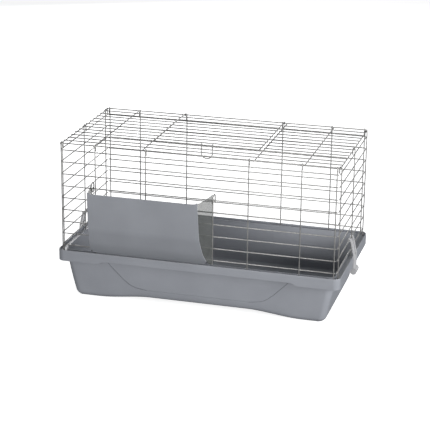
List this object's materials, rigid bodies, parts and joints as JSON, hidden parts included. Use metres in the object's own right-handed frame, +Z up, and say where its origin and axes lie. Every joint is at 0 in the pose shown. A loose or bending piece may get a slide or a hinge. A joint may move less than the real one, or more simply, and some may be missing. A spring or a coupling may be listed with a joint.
{
  "type": "wire rabbit cage",
  "caption": "Wire rabbit cage on a moulded tray, with a hinged roof door, a hay rack hung on the front and clips that hold the wire top to the tray.",
  "frame": {"origin": "on the ground, under the middle of the whole cage with its hay rack; the tray's middle is 43.5 mm behind it", "axes": "+X along the front to the viewer's right, +Y from the front to the rear, +Z up"},
  "size_m": [0.846, 0.506, 0.4653],
  "materials": {
    "tray_plastic": "satin moulded, cool grey",
    "zinc_wire": "bright zinc plate",
    "rack_plastic": "satin moulded, cool grey",
    "smoked_plastic": "smoked, translucent",
    "clip_plastic": "satin moulded, light grey"
  },
  "bodies": {
    "cage": {"tray_shell": "tray_plastic", "roof_crosswires": "zinc_wire", "roof_long_wires": "zinc_wire", "front_crosswires": "zinc_wire", "front_uprights": "zinc_wire", "rear_crosswires": "zinc_wire", "rear_uprights": "zinc_wire", "left_crosswires": "zinc_wire", "left_uprights": "zinc_wire", "right_crosswires": "zinc_wire", "right_uprights": "zinc_wire"},
    "roof_door": {"door_crosswires": "zinc_wire", "door_front_wire": "zinc_wire", "door_side_wire_left": "zinc_wire", "door_side_wire_right": "zinc_wire"},
    "door_loop": {"door_loop": "zinc_wire"},
    "hay_rack": {"rack_face": "rack_plastic", "rack_end_left": "smoked_plastic", "rack_end_right": "smoked_plastic", "rack_hook_left": "zinc_wire", "rack_hook_right": "zinc_wire", "rack_rings": "zinc_wire"},
    "clip_left": {"clip_left": "clip_plastic"},
    "clip_right": {"clip_right": "clip_plastic"}
  },
  "joints": [
    {"name": "roof_door_hinge", "type": "hinge", "parent": "cage", "child": "roof_door", "pos_m": [0, 0.242, 0.46], "axis": [-1, 0, 0], "range_deg": [0, 180]},
    {"name": "door_loop_swing", "type": "hinge", "parent": "roof_door", "child": "door_loop", "pos_m": [0, -0.0564, 0.46055], "axis": [-1, 0, 0], "range_deg": [-75, 55]},
    {"name": "hay_rack_swing", "type": "hinge", "parent": "cage", "child": "hay_rack", "pos_m": [-0.1285, -0.1554, 0.3347], "axis": [-1, 0, 0], "range_deg": [0, 55]},
    {"name": "clip_left_hinge", "type": "hinge", "parent": "cage", "child": "clip_left", "pos_m": [-0.3984, 0.0435, 0.1939], "axis": [0, 1, 0], "range_deg": [0, 110]},
    {"name": "clip_right_hinge", "type": "hinge", "parent": "cage", "child": "clip_right", "pos_m": [0.3984, 0.0435, 0.1939], "axis": [0, -1, 0], "range_deg": [0, 110]}
  ]
}
